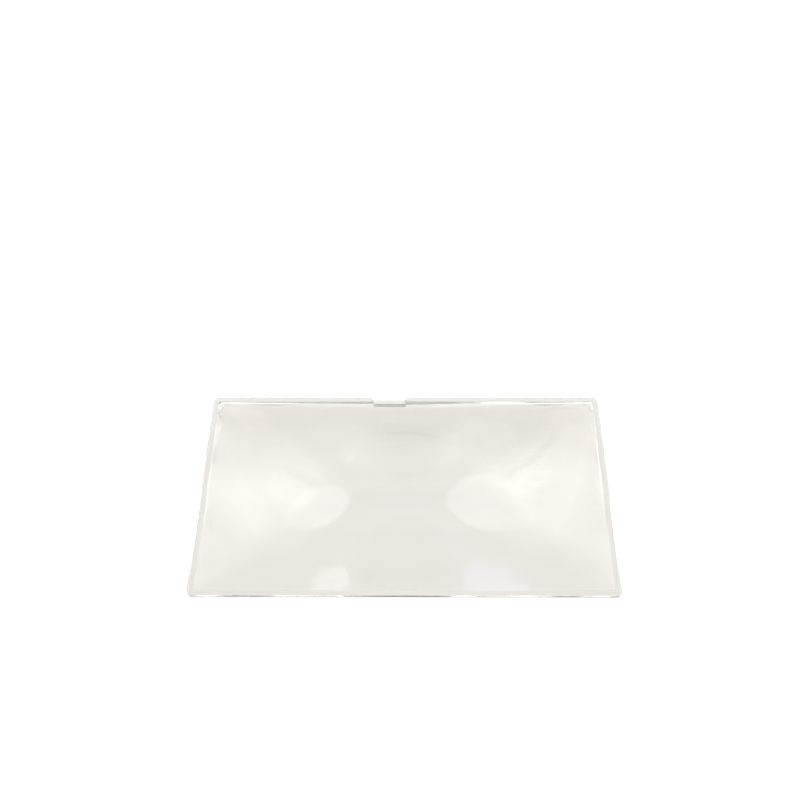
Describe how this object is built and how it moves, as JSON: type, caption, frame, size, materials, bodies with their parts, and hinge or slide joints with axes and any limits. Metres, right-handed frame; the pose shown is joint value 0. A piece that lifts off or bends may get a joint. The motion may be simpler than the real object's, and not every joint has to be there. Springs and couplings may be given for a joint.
{
  "type": "fresnel lens",
  "caption": "Flat rectangular moulded lens with concentric grooves on one face, a narrow plain rim and a shallow notch in one long edge.",
  "frame": {"origin": "centre of the plain back face, where the optical axis meets it", "axes": "+Z along the optical axis, out of the grooved face; +X along the long edges; +Y towards the notched edge"},
  "size_m": [0.26, 0.16, 0.002],
  "materials": {
    "clear_acrylic": "clear and polished on every face, as it leaves the mould"
  },
  "bodies": {
    "root": {"lens": "clear_acrylic"}
  },
  "joints": []
}
